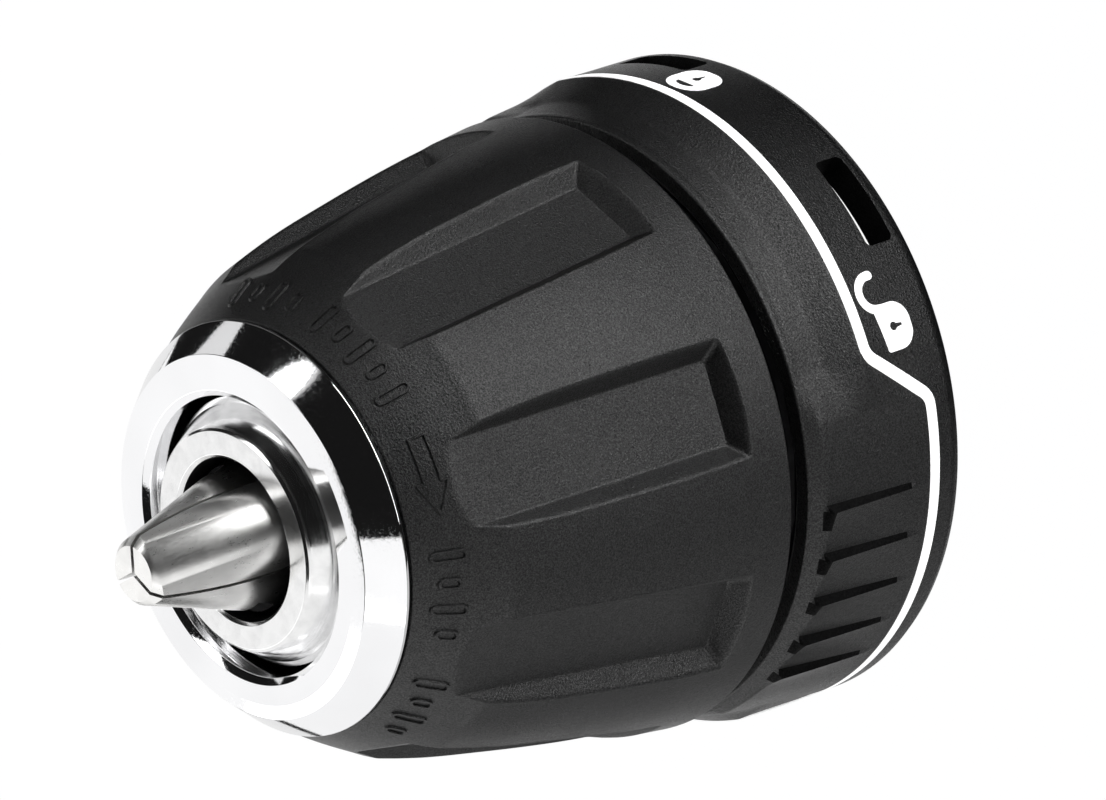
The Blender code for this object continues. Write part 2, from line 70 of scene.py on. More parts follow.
# Lights as (name, azimuth, elevation, half width, half height, radiance, shape), the halves as angles.
LIGHTS = (
    ("tent_back", 158.0, 22.0, 46.0, 38.0, 1.0, "RECTANGLE"),
    ("tent_back_right", 88.0, 22.0, 24.0, 38.0, 1.02, "RECTANGLE"),
    ("tent_left", 224.0, 28.0, 19.0, 24.0, 1.05, "RECTANGLE"),
    ("tent_low", 95.0, -42.0, 30.0, 25.0, 0.85, "RECTANGLE"),
    ("low_left", 190.0, -38.0, 32.0, 18.0, 0.55, "RECTANGLE"),
    ("fill_left", 225.0, -12.0, 25.0, 12.0, 0.3, "RECTANGLE"),
    ("fill_right", 10.0, -22.0, 24.0, 8.0, 0.28, "RECTANGLE"),
    ("spot_core", -4.0, 31.0, 8.0, 5.5, 5.0, "ELLIPSE"),
    ("spot_edge", -4.0, 31.0, 10.5, 6.5, 0.6, "ELLIPSE"),
    ("key_softbox", -50.0, -7.0, 22.0, 9.0, 8.0, "RECTANGLE"),
    ("key_low", -85.0, -18.0, 17.0, 7.0, 6.0, "RECTANGLE"),
    ("top_right", 14.0, 50.0, 12.0, 9.0, 2.5, "RECTANGLE"),
    ("low_right", 44.0, 8.0, 11.0, 7.0, 0.75, "RECTANGLE"),
)

# Grip sleeve: lands and front band as (z, radius), and the eight recesses between the lands. A blend is
# the width over which two surfaces run into each other.
LAND = ((15.3, 22.66), (21.65, 21.82), (28.2, 20.65), (33.9, 19.46), (38.17, 18.24), (42.5, 16.7))
BAND = ((35.0, 19.85), (38.17, 18.14), (41.6, 16.25), (43.72, 14.87))
SLEEVE_REAR_Z = 15.25
SLEEVE_FRONT_Z = 43.72
RECESSES = 8
RECESS_SECTOR = 360.0 / RECESSES
RECESS_REAR = 20.5
RECESS_REAR_Z = 19.3
RECESS_FLOOR_SLOPE = -3.7 / 21.7
RECESS_HALF_WIDTH = 3.05
RECESS_WALL_SPREAD = 0.95
RECESS_REAR_RUN = 0.5
RECESS_CORNER_BLEND = 0.9
RECESS_FLOOR_BLEND = 0.12
RECESS_EDGE_BLEND = 0.4
BAND_BLEND = 0.1
SLEEVE_SHARP = 42.0
SLEEVE_INSIDE = ((43.72, 13.6), (39.4, 13.6), (38.2, 15.0), (34.6, 16.8), (28.4, 16.8), (27.0, 18.0),
                 (20.0, 18.9), (17.0, 19.5), (15.25, 19.7))

# Raised marks on the sleeve's front band, drawn by a ridge whose section is (share of its half width,
# lift). ARROW_RIDGE and BAR_RIDGE are its half widths. Places round the band are azimuths.
MARK_RADIUS = 16.2
MARK_Z = 41.6
MARK_RIDGE = ((1.0, -0.12), (0.6, 0.17), (-0.6, 0.17), (-1.0, -0.12))
ARROW_TAIL = -76.0
ARROW_NECK = -87.6
ARROW_TIP = -95.6
ARROW_SHAFT = 0.5
ARROW_BARB = 0.95
ARROW_RIDGE = 0.15
BAR_GROUPS = ((-36.0, 5), (-4.0, 4), (-106.0, 4), (-143.0, 4))
BAR_PITCH = 7.0
BAR_LONG = 1.05
BAR_SHORT = 0.6 * BAR_LONG
BAR_HALF_WIDTH = 0.33
BAR_CORNER = 0.3
BAR_RIDGE = 0.14

# Lock ring. Its outlines are (z, radius); the pad is the raised ground under a grip's ribs.
RING_RADIUS = 23.9
RING_PLAIN = ((0.9, 23.9), (8.3, 23.9), (10.9, 22.62), (12.9, 22.3), (14.0, 22.25))
RING_PAD = ((0.9, 23.9), (3.4, 23.9), (12.5, 22.95), (13.3, 22.4), (14.0, 22.25))
RING_PLAIN_BLUR = 0.16
RING_PAD_BLUR = 0.22
RING_LIP_Z = 13.6
RING_SHARP = 38.0
RING_INSIDE = ((13.6, 21.1), (13.0, 20.4), (10.5, 20.4), (10.5, 17.5), (7.9, 17.5), (7.9, 20.4),
               (6.9, 21.7), (0.0, 21.7))
GRIP_CENTRES = (-135.0, 45.0)
GRIP_FULL = 36.0
GRIP_FADE = 9.0
# Ribs: each rises over RIB_STEP degrees and falls away slowly on its other side. They grow from nothing
# at the rear to their full height, and end in a short slope. Here and in the windows, a DARK value is a
# limit of the faces that get painted shade, a near-black and less shiny copy of the ring's plastic.
RIBS = 5
RIB_PITCH = 9.3
RIB_FIRST = 2.15
RIB_HEIGHT = 0.62
RIB_REAR_Z = 3.9
RIB_FRONT_Z = 12.5
RIB_FULL_Z = RIB_FRONT_Z - 0.4
RIB_END_Z = RIB_FRONT_Z + 0.12
RIB_STEP = 1.0
RIB_FALL_POWER = 2.6
RIB_RISE_POWER = 0.8
RIB_END_RUN = 0.3
RIB_DARK_RADIUS = 22.2
RIB_DARK_ANGLE = 3.2
RIB_DARK_Z = (RIB_REAR_Z + 1.2, RIB_FRONT_Z + 0.2)
WINDOWS = (-64.0, -13.0, 116.0, 167.0)
WINDOW_SIZE = (7.3, 2.75)
WINDOW_Z = 2.65
WINDOW_CORNER = 0.45
WINDOW_RISE = 0.8
WINDOW_CUT = (20.0, 26.0)
WINDOW_DARK_ANGLE = 9.6
WINDOW_DARK_Z = (1.0, 4.3)
WINDOW_DARK_RADIUS = (21.75, 23.85)
LINE_HIGH_Z = 7.83
LINE_LOW_Z = 2.91
LINE_HALF_WIDTH = 0.45
LINE_CORNER = 0.7
LINE_STEPS = ((-45.0, LINE_HIGH_Z), (-35.0, LINE_LOW_Z), (35.0, LINE_LOW_Z), (45.0, LINE_HIGH_Z))
LINE_SECTION = ((1.0, -0.08), (1.0, 0.014), (-1.0, 0.014), (-1.0, -0.08))
OPEN_LOCK_AZIMUTH = -86.8
CLOSED_LOCK_AZIMUTH = -26.4
LOCK_BOTTOM_Z = 3.0
LOCK_REACH = (-4.5, 1.76)
LOCK_SLICE = 0.25
INK_HALF_THICKNESS = 0.04
INK_LIFT = 0.018

# Chuck body: what lies within this radius and between these heights is its bore, which gets painted
# shade.
BORE_RADIUS = 7.95
BORE_Z = (13.7, 46.93)

# Jaws: rods that lean in by the tilt. Places along a rod are measured from where its outer side reaches
# the tip's radius, and the rod overruns that point before it is cut flat at JAW_END_Z.
JAW_TILT = 18.0
JAW_RADIUS = 3.1
JAW_LENGTH = 29.5
JAW_OVERRUN = 3.0
JAW_TIP_Z = 56.3
JAW_TIP_RADIUS = 2.1
JAW_HOLE_RADIUS = 3.4
JAW_HOLE_ENDS = (-48.0, 2.0)
JAW_CHAMFER = 0.3
JAW_THREAD_TOP = -11.0
JAW_THREAD_PITCH = 2.0
JAW_GROOVE_HALF_WIDTH = 0.72
JAW_GROOVE_FLOOR = 2.1
# A jaw's face is in a groove below this place, beyond this offset and under the rod's round skin. Such
# faces get painted shade.
GROOVE_TOP = JAW_THREAD_TOP + 1.5
GROOVE_INSIDE = JAW_GROOVE_FLOOR - 0.2
GROOVE_OUTSIDE = JAW_RADIUS - 0.04
JAW_END_Z = 56.0
JAW_FLAT_RADIUS = 1.98
JAW_AZIMUTHS = (-80.0, 40.0, 160.0)
JAW_HALF_GAP = 0.15
NEAR_AXIS = 0.001
JAW_AXIS_X = JAW_TIP_RADIUS - JAW_RADIUS / math.cos(math.radians(JAW_TILT))


# ---------------------------------------------------------------- mesh helpers


def polar(radius, degrees, z):
    """A point at a radius and an azimuth about the spindle's axis."""
    angle = math.radians(degrees)
    return Vector((radius * math.cos(angle), radius * math.sin(angle), z))


def direction(azimuth, elevation):
    """A unit vector that points to an azimuth and an elevation."""
    return polar(math.cos(math.radians(elevation)), azimuth, math.sin(math.radians(elevation)))


def new_object(name, verts, faces, shade=None, sharp=35.0):
    """Makes a mesh object from points in millimetres and faces as rows of point numbers."""
    mesh = bpy.data.meshes.new(name)
    mesh.from_pydata((np.asarray(verts, float) * MM).tolist(), [], faces)
    mesh.validate()
    mesh.shade_smooth()
    mesh.set_sharp_from_angle(angle=math.radians(sharp))
    item = bpy.data.objects.new(name, mesh)
    bpy.context.scene.collection.objects.link(item)
    if shade:
        mesh.materials.append(shade)
    return item


def face_out(item):
    """Turns all of a mesh's faces outwards."""
    work = bmesh.new()
    work.from_mesh(item.data)
    bmesh.ops.recalc_face_normals(work, faces=work.faces)
    work.to_mesh(item.data)
    work.free()
    return item


def all_round(name, sections, shade, sharp=35.0):
    """Closes an array of points (row, column, xyz) both round the axis and round the section."""
    rows, columns = sections.shape[:2]
    lower = np.arange(rows * columns).reshape(rows, columns)
    upper = np.roll(lower, -1, axis=0)
    quads = np.stack([lower, np.roll(lower, -1, axis=1), np.roll(upper, -1, axis=1), upper], axis=-1)
    return new_object(name, sections.reshape(-1, 3), quads.reshape(-1, 4).tolist(), shade, sharp)


def on_axis(radii, angles, heights):
    """Points of a grid of radii, each row at one height."""
    turn = np.radians(angles)
    z = np.broadcast_to(np.asarray(heights, float)[:, None], radii.shape)
    return np.stack([radii * np.cos(turn), radii * np.sin(turn), z], axis=-1)


def turned(name, outline, shade, segments=192, sharp=35.0):
    """Turns a closed outline of (radius, z) points, listed with the outside going up, about Z."""
    radii = np.array([point[0] for point in outline])[:, None] * np.ones(segments)
    angles = np.arange(segments) * 360.0 / segments
    return all_round(name, on_axis(radii, angles, [point[1] for point in outline]), shade, sharp)


def rounded(corners, steps=6):
    """An outline through (radius, z, fillet) corners, each fillet drawn as an arc."""
    outline = []
    count = len(corners)
    for number, (x, y, fillet) in enumerate(corners):
        here = Vector((x, y))
        if fillet == 0.0:
            outline.append((x, y))
            continue
        before = (Vector(corners[number - 1][:2]) - here).normalized()
        after = (Vector(corners[(number + 1) % count][:2]) - here).normalized()
        half = before.angle(after) / 2.0
        reach = fillet / math.tan(half)
        centre = here + (before + after).normalized() * fillet / math.sin(half)
        start = here + before * reach - centre
        end = here + after * reach - centre
        for step in range(steps + 1):
            share = step / steps
            arm = start.lerp(end, share).normalized() * fillet
            outline.append(tuple(centre + arm))
    return outline


def arc(x, y, radius, first, last, steps=14):
    """Points of an arc about (x, y) from one angle to another."""
    angles = np.radians(np.linspace(first, last, steps))
    return [(x + radius * math.cos(angle), y + radius * math.sin(angle)) for angle in angles]


def boolean(target, tool, operation="DIFFERENCE"):
    """Cuts target with tool for good, then removes tool."""
    modifier = target.modifiers.new("cut", "BOOLEAN")
    modifier.operation = operation
    modifier.solver = "EXACT"
    modifier.object = tool
    depsgraph = bpy.context.evaluated_depsgraph_get()
    mesh = bpy.data.meshes.new_from_object(target.evaluated_get(depsgraph))
    target.modifiers.clear()
    target.data = mesh
    bpy.data.objects.remove(tool)


def finish_edges(item, sharp=30.0):
    """Shades a cut mesh smooth, apart from edges that turn by more than sharp."""
    item.data.shade_smooth()
    item.data.set_sharp_from_angle(angle=math.radians(sharp))


def paint_shade(item, shade, chosen):
    """Gives painted shade, a darker second material, to the faces whose centre (radius, azimuth, z) is
    chosen.
    """
    item.data.materials.append(shade)
    for face in item.data.polygons:
        x, y, z = face.center / MM
        if chosen(math.hypot(x, y), math.degrees(math.atan2(y, x)), z):
            face.material_index = len(item.data.materials) - 1


def prism(name, outline, low, high):
    """Extrudes a closed (x, y) outline along Z."""
    count = len(outline)
    verts = [(x, y, z) for z in (low, high) for x, y in outline]
    faces = [list(range(count)), list(range(count, 2 * count))]
    for step in range(count):
        after = (step + 1) % count
        faces.append([step, after, count + after, count + step])
    return face_out(new_object(name, verts, faces))


def soft_max(first, second, size):
    """The larger of two arrays, with the change from one to the other rounded over size."""
    share = np.clip(0.5 + 0.5 * (first - second) / size, 0.0, 1.0)
    return second + (first - second) * share + size * share * (1.0 - share) / 2.0


def soft_min(first, second, size):
    """The smaller of two arrays, rounded in the same way."""
    return -soft_max(-first, -second, size)


def smooth_curve(points, z):
    """Reads a smooth curve through (z, radius) points."""
    heights = np.array([point[0] for point in points])
    radii = np.array([point[1] for point in points])
    slopes = np.gradient(radii, heights)
    low = np.clip(np.searchsorted(heights, z) - 1, 0, len(points) - 2)
    span = heights[low + 1] - heights[low]
    t = (z - heights[low]) / span
    return ((2 * t**3 - 3 * t**2 + 1) * radii[low] + (t**3 - 2 * t**2 + t) * span * slopes[low]
            + (3 * t**2 - 2 * t**3) * radii[low + 1] + (t**3 - t**2) * span * slopes[low + 1])


def rounded_steps(points, z, size):
    """Reads straight lines through (z, radius) points, blurred over size so that corners are round."""
    heights = [point[0] for point in points]
    radii = [point[1] for point in points]
    shifts = np.linspace(-size, size, 9)
    return sum(np.interp(z + shift, heights, radii) for shift in shifts) / len(shifts)


# ---------------------------------------------------------------- materials


# Depths of bumps are in metres.
GRAIN_DEPTH = 0.00006
# The ink glows a little: painted light that keeps the print white.
PAINTED_INK_GLOW = 0.55
BLACKS = ((0.0018, 0.0018, 0.0020), (0.0034, 0.0034, 0.0036))
# Near-black plastic colours for painted shade in the lock ring's windows and on its rib steps.
PAINTED_SHADE_BLACKS = ((0.0010, 0.0010, 0.0011), (0.0022, 0.0022, 0.0024))


class Nodes:
    """A material's node tree, with short calls for the nodes used here."""

    def __init__(self, name, **sockets):
        self.material = bpy.data.materials.new(name)
        self.material.use_nodes = True
        self.tree = self.material.node_tree
        self.shader = self.tree.nodes["Principled BSDF"]
        for socket, value in sockets.items():
            self.set(self.shader, socket.replace("_", " "), value)

    def set(self, node, socket, value):
        target = node.inputs[socket]
        if isinstance(value, bpy.types.NodeSocket):
            self.tree.links.new(value, target)
        else:
            target.default_value = value

    def add(self, kind, output=0, inputs=None, **settings):
        node = self.tree.nodes.new(kind)
        for key, value in settings.items():
            setattr(node, key, value)
        for socket, value in (inputs or {}).items():
            self.set(node, socket, value)
        return node.outputs[output]

    def coordinates(self):
        return self.add("ShaderNodeTexCoord", output="Object")

    def noise(self, scale, detail=2.0, roughness=0.5, vector=None):
        return self.add("ShaderNodeTexNoise", inputs={
            "Vector": vector or self.coordinates(), "Scale": scale, "Detail": detail,
            "Roughness": roughness})

    def total(self, first, second):
        return self.add("ShaderNodeMath", operation="ADD", inputs={0: first, 1: second})

    def span(self, value, low, high, out_low, out_high):
        """Maps low to out_low and high to out_high, and stops at both."""
        return self.add("ShaderNodeMapRange", inputs={
            "Value": value, "From Min": low, "From Max": high, "To Min": out_low, "To Max": out_high})

    def stretch(self, scale, turn):
        return self.add("ShaderNodeMapping", inputs={
            "Vector": self.coordinates(), "Scale": scale, "Rotation": turn})

    def blend(self, share, first, second):
        node = self.tree.nodes.new("ShaderNodeMix")
        node.data_type = "RGBA"
        self.set(node, 0, share)
        self.set(node, 6, (*first, 1.0))
        self.set(node, 7, (*second, 1.0))
        return node.outputs[2]

    def bump(self, height, distance, normal=None):
        inputs = {"Height": height, "Distance": distance, "Strength": 1.0}
        if normal is not None:
            inputs["Normal"] = normal
        return self.add("ShaderNodeBump", inputs=inputs)

    def radius(self):
        """Distance from the spindle's axis, for turned marks."""
        flat = self.add("ShaderNodeVectorMath", operation="MULTIPLY", inputs={
            0: self.coordinates(), 1: (1.0, 1.0, 0.0)})
        return self.add("ShaderNodeVectorMath", output="Value", operation="LENGTH", inputs={0: flat})

    def link(self, **sockets):
        """Sets the shader's sockets and returns the finished material."""
        for socket, value in sockets.items():
            self.set(self.shader, socket.replace("_", " "), value)
        return self.material


def moulded_plastic(name, colours, roughness, grain, shine=1.0):
    """Black moulded plastic: spark-eroded grain that sparkles, and faint flow marks.

    colours are the darker and the lighter one, and grain is the noise's scale.
    """
    look = Nodes(name)
    fine = look.noise(grain, detail=3.0, roughness=0.7)
    askew = look.stretch((1.0, 1.0, 1.0), (0.7, 0.4, 0.2))
    specks = look.noise(grain * 1.4, detail=2.0, roughness=0.6, vector=askew)
    flow = look.noise(140.0, detail=3.0)
    colour = look.blend(look.span(flow, 0.35, 0.7, 0.0, 1.0), *colours)
    rough = look.total(look.span(fine, 0.35, 0.7, roughness + 0.08, roughness - 0.1),
                       look.span(flow, 0.3, 0.7, 0.03, -0.03))
    return look.link(Base_Color=colour, Roughness=rough, Normal=look.bump(fine, GRAIN_DEPTH),
                     Specular_IOR_Level=look.span(specks, 0.38, 0.68, 0.34 * shine, 0.88 * shine))


def chrome(name):
    """Bright chrome plate: nearly a mirror, with a faint ripple, tiny pits and wiping marks."""
    look = Nodes(name, Metallic=1.0)
    ripple = look.noise(450.0, detail=2.0)
    pits = look.noise(5200.0, detail=3.0, roughness=0.7)
    haze = look.noise(90.0)
    colour = look.blend(look.span(haze, 0.4, 0.7, 0.0, 1.0), (0.93, 0.93, 0.94), (0.86, 0.86, 0.87))
    rough = look.span(pits, 0.45, 0.75, 0.035, 0.16)
    normal = look.bump(pits, 0.0000012, normal=look.bump(ripple, 0.000004))
    return look.link(Base_Color=colour, Roughness=rough, Normal=normal)


def turned_steel(name, colour, roughness, depth):
    """Steel faced on a lathe: fine rings round the spindle's axis."""
    look = Nodes(name, Metallic=1.0)
    rings = look.add("ShaderNodeTexNoise", noise_dimensions="1D", inputs={
        "W": look.radius(), "Scale": 9000.0, "Detail": 3.0, "Roughness": 0.6})
    worn = look.noise(700.0, detail=4.0)
    dull = tuple(0.88 * part for part in colour)
    shade = look.blend(look.span(worn, 0.4, 0.7, 0.0, 1.0), colour, dull)
    rough = look.total(look.span(rings, 0.3, 0.7, roughness - 0.05, roughness + 0.05),
                       look.span(worn, 0.4, 0.8, 0.0, 0.08))
    return look.link(Base_Color=shade, Roughness=rough, Normal=look.bump(rings, depth))


def ground_steel(name, colour, roughness, depth, tilt=0.0, azimuth=0.0):
    """Ground steel whose fine lines run along the piece."""
    look = Nodes(name, Metallic=1.0)
    turn = (0.0, math.radians(tilt), -math.radians(azimuth))
    lengthways = look.stretch((1.0, 1.0, 0.06), turn)
    lines = look.noise(9000.0, detail=3.0, roughness=0.6, vector=lengthways)
    worn = look.noise(600.0, detail=4.0)
    dull = tuple(0.9 * part for part in colour)
    shade = look.blend(look.span(worn, 0.42, 0.75, 0.0, 1.0), colour, dull)
    rough = look.total(look.span(lines, 0.3, 0.7, roughness - 0.04, roughness + 0.04),
                       look.span(worn, 0.4, 0.8, 0.0, 0.05))
    return look.link(Base_Color=shade, Roughness=rough, Normal=look.bump(lines, depth))


def cast_metal(name, colour, roughness, metallic, depth):
    """Cast or coated metal with a soft, mottled skin."""
    look = Nodes(name, Metallic=metallic)
    skin = look.noise(2600.0, detail=4.0, roughness=0.6)
    stain = look.noise(300.0, detail=3.0)
    dull = tuple(0.75 * part for part in colour)
    shade = look.blend(look.span(stain, 0.35, 0.7, 0.0, 1.0), colour, dull)
    rough = look.span(skin, 0.3, 0.7, roughness - 0.08, roughness + 0.08)
    return look.link(Base_Color=shade, Roughness=rough, Normal=look.bump(skin, depth))


def ink_with_painted_glow(name):
    """White pad-printed ink: flat, with slightly thin spots over the plastic's grain, and a faint
    painted glow.
    """
    look = Nodes(name, Specular_IOR_Level=0.4)
    thin = look.noise(3800.0, detail=3.0)
    colour = look.blend(look.span(thin, 0.58, 0.8, 0.0, 1.0), (0.95, 0.95, 0.95), (0.75, 0.75, 0.75))
    glow = look.blend(look.span(thin, 0.58, 0.8, 0.0, 1.0), (1.0, 1.0, 1.0), (0.8, 0.8, 0.8))
    # Painted light: the ink glows by itself.
    look.set(look.shader, "Emission Strength", PAINTED_INK_GLOW)
    rough = look.span(thin, 0.3, 0.7, 0.45, 0.6)
    return look.link(Base_Color=colour, Emission_Color=glow, Roughness=rough,
                     Normal=look.bump(thin, 0.000004))


# Plastics take a roughness and their grain's scale. Steels take a roughness and a bump's depth. Castings
# and coatings take a roughness, a share of metal and a bump's depth.
PLASTIC = moulded_plastic("sleeve_plastic", BLACKS, 0.35, 6500.0)
RING_PLASTIC = moulded_plastic("ring_plastic_look", BLACKS, 0.35, 6000.0)
# Painted shade: a near-black, dull copy of the ring's plastic for its windows and rib steps.
PAINTED_SHADE_PLASTIC = moulded_plastic("ring_painted_shade_look", PAINTED_SHADE_BLACKS, 0.6, 6000.0, shine=0.15)
# Painted shade: near-black steel for the chuck body's bore and the jaws' thread grooves.
PAINTED_SHADE_STEEL = cast_metal("painted_shade_steel_look", (0.012, 0.012, 0.013), 0.6, 0.3, 0.000006)
CHROME = chrome("nose_chrome")
NOSE_STEEL = turned_steel("nose_steel_look", (0.86, 0.86, 0.86), 0.13, 0.0000016)
INK_AND_PAINTED_GLOW = ink_with_painted_glow("white_ink_painted_glow")
BY_SLOT = {
    "black_plastic": PLASTIC,
    "ring_plastic": RING_PLASTIC,
    "chrome": CHROME,
    "nose_steel": NOSE_STEEL,
    "jaw_steel": ground_steel("jaw_steel_look", (0.78, 0.77, 0.75), 0.24, 0.000003),
    "bearing_steel": ground_steel("bearing_steel_look", (0.72, 0.72, 0.74), 0.18, 0.000002),
    "spring_steel": ground_steel("spring_steel_look", (0.42, 0.42, 0.44), 0.32, 0.000003),
    "die_cast": cast_metal("die_cast_look", (0.045, 0.045, 0.048), 0.6, 0.7, 0.00001),
    "brass": cast_metal("brass_look", (0.68, 0.5, 0.24), 0.34, 1.0, 0.000005),
    "black_steel": cast_metal("black_steel_look", (0.05, 0.05, 0.055), 0.42, 0.8, 0.000006),
}


def dress_cad_nodes():
    """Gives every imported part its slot's finish, shown or not."""
    for part in frame["record"]["subparts"]:
        node = frame["nodes"][part["node"]]
        node.data.materials.clear()
        node.data.materials.append(BY_SLOT[part["material_slot"]])


def place(piece, body, slot, *nodes):
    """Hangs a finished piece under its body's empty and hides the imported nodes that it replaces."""
    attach(piece, body)
    if nodes:
        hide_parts(*nodes)


# ---------------------------------------------------------------- grip sleeve


def recess_floor(z):
    """Distance of a recess's flat floor from the axis."""
    return RECESS_REAR + RECESS_FLOOR_SLOPE * (z - RECESS_REAR_Z)


def sleeve_radius(angle, z):
    """Outer radius of the sleeve at a grid of azimuths and heights."""
    offset = np.radians(np.abs((angle + RECESS_SECTOR / 2) % RECESS_SECTOR - RECESS_SECTOR / 2))
    floor = recess_floor(z) / np.cos(offset)
    side = (recess_floor(z) - RECESS_HALF_WIDTH / RECESS_WALL_SPREAD) / (
        np.cos(offset) - np.sin(offset) / RECESS_WALL_SPREAD)
    end = (RECESS_REAR + (RECESS_REAR_Z - z) / RECESS_REAR_RUN) / np.cos(offset)
    recess = soft_max(floor, soft_max(side, end, RECESS_CORNER_BLEND), RECESS_FLOOR_BLEND)
    outside = soft_min(smooth_curve(LAND, z), recess, RECESS_EDGE_BLEND)
    return soft_min(outside, smooth_curve(BAND, z), BAND_BLEND)


def sleeve_columns(z):
    """Azimuths of one row, gathered where the recesses' walls rise.

    A share of 1 is the foot of a wall, and 2.5 is the middle of a land.
    """
    edge = np.degrees(np.arctan(RECESS_HALF_WIDTH / recess_floor(z)))
    share = np.concatenate([
        np.linspace(0.0, 0.9, 5), np.linspace(0.93, 1.5, 20), np.linspace(1.6, 2.5, 5)])
    offsets = np.interp(share, [0.0, 1.0, 2.5], [0.0, edge, RECESS_SECTOR / 2])
    offsets = np.concatenate([-offsets[:0:-1], offsets[:-1]])
    return np.concatenate([RECESS_SECTOR * number + offsets for number in range(RECESSES)])


def grip_sleeve():
    """The sleeve as one closed skin: rear edge, ribbed outside, front edge and inside, row by row."""
    rear = rounded([(19.7, SLEEVE_REAR_Z, 0.0), (21.5, SLEEVE_REAR_Z, 0.1), (21.8, 15.55, 0.0),
                    (22.62, 15.55, 0.12), (22.6, 15.8, 0.0)])[1:-1]
    front = rounded([(15.1, 43.4, 0.0), (14.87, SLEEVE_FRONT_Z, 0.16),
                     (13.6, SLEEVE_FRONT_Z, 0.0)])[1:-1]
    # Rows lie close together where the recesses begin and where they run out.
    heights = np.concatenate([
        np.linspace(15.75, 17.4, 7), np.arange(17.5, 20.5, 0.1), np.linspace(20.8, 37.0, 30),
        np.arange(37.1, 40.9, 0.12), np.linspace(41.0, 43.4, 12)])
    levels = [z for _, z in rear] + list(heights)
    levels += [z for _, z in front] + [z for z, _ in SLEEVE_INSIDE]
    angles = np.array([sleeve_columns(z) for z in levels])
    plain = [radius for radius, _ in rear] + [0.0] * len(heights)
    plain += [radius for radius, _ in front] + [radius for _, radius in SLEEVE_INSIDE]
    radii = np.array(plain)[:, None] * np.ones(angles.shape[1])
    outer = slice(len(rear), len(rear) + len(heights))
    radii[outer] = sleeve_radius(angles[outer], heights[:, None])
    sections = on_axis(radii, angles, levels)
    sleeve = all_round("grip_sleeve_shell", sections, PLASTIC, sharp=SLEEVE_SHARP)
    place(sleeve, "sleeve", "black_plastic", "grip_sleeve")


# ---------------------------------------------------------------- raised and printed marks


def strip(verts, faces, path, closed, half_width, section, surface, reference):
    """Adds a band along a path of (x, z) points laid round a surface.

    x runs round the axis at the reference radius. section lists (share of the half width, lift).
    """
    path = [Vector(point) for point in path]
    count = len(path)
    base = len(verts)
    for number, point in enumerate(path):
        before = path[number - 1] if closed or number else point
        after = path[(number + 1) % count] if closed or number < count - 1 else point
        back = (point - before).normalized() if point != before else (after - point).normalized()
        ahead = (after - point).normalized() if point != after else back
        middle = (back + ahead).normalized()
        side = Vector((-middle.y, middle.x)) / max(0.5, middle.dot(back))
        for share, lift in section:
            x, z = point + side * half_width * share
            verts.append(polar(surface(z) + lift, math.degrees(x / reference), z))
    size = len(section)
    for step in range(count if closed else count - 1):
        here = base + size * step
        there = base + size * ((step + 1) % count)
        for corner in range(size):
            turn = (corner + 1) % size
            faces.append([here + corner, there + corner, there + turn, here + turn])
    if not closed:
        faces.append([base + corner for corner in range(size)])
        faces.append([base + size * (count - 1) + corner for corner in reversed(range(size))])


def along(points, closed, step, fillet):
    """Samples a path through corner points, with round corners, at about equal steps."""
    corners = []
    count = len(points)
    for number, point in enumerate(points):
        here = Vector(point)
        if not closed and number in (0, count - 1):
            corners.append(here)
            continue
        before = Vector(points[number - 1])
        after = Vector(points[(number + 1) % count])
        first = here + (before - here).normalized() * fillet
        last = here + (after - here).normalized() * fillet
        corners += [first.lerp(here, t).lerp(here.lerp(last, t), t) for t in np.linspace(0.0, 1.0, 5)]
    if closed:
        corners.append(corners[0])
    path = [corners[0]]
    for first, last in zip(corners, corners[1:]):
        pieces = max(1, round((last - first).length / step))
        path += [first.lerp(last, share / pieces) for share in range(1, pieces + 1)]
    return path[:-1] if closed else path


def band_radius(z):
    """Radius of the sleeve's front band at one height."""
    return float(smooth_curve(BAND, np.array([z]))[0])


def sleeve_marks():
    """Raised marks on the sleeve's front band: a direction arrow and plain upright bars."""
    verts = []
    faces = []
    to_x = math.radians(MARK_RADIUS)
    arrow = [(ARROW_TAIL, ARROW_SHAFT), (ARROW_NECK, ARROW_SHAFT), (ARROW_NECK, ARROW_BARB),
             (ARROW_TIP, 0.0), (ARROW_NECK, -ARROW_BARB), (ARROW_NECK, -ARROW_SHAFT),
             (ARROW_TAIL, -ARROW_SHAFT)]
    corners = [(azimuth * to_x, MARK_Z + rise) for azimuth, rise in arrow]
    path = along(corners, closed=True, step=0.25, fillet=0.08)
    strip(verts, faces, path, True, ARROW_RIDGE, MARK_RIDGE, band_radius, MARK_RADIUS)
    for first, bars in BAR_GROUPS:
        for number in range(bars):
            middle = (first - BAR_PITCH * number) * to_x
            reach = BAR_LONG if number % 2 == 0 else BAR_SHORT
            bar = rounded([
                (-BAR_HALF_WIDTH, -reach, BAR_CORNER), (BAR_HALF_WIDTH, -reach, BAR_CORNER),
                (BAR_HALF_WIDTH, reach, BAR_CORNER), (-BAR_HALF_WIDTH, reach, BAR_CORNER)], steps=4)
            corners = [(middle + x, MARK_Z + rise) for x, rise in bar]
            path = along(corners, closed=True, step=0.2, fillet=0.02)
            strip(verts, faces, path, True, BAR_RIDGE, MARK_RIDGE, band_radius, MARK_RADIUS)
    marks = face_out(new_object("sleeve_raised_marks", verts, faces, PLASTIC))
    place(marks, "sleeve", "black_plastic")


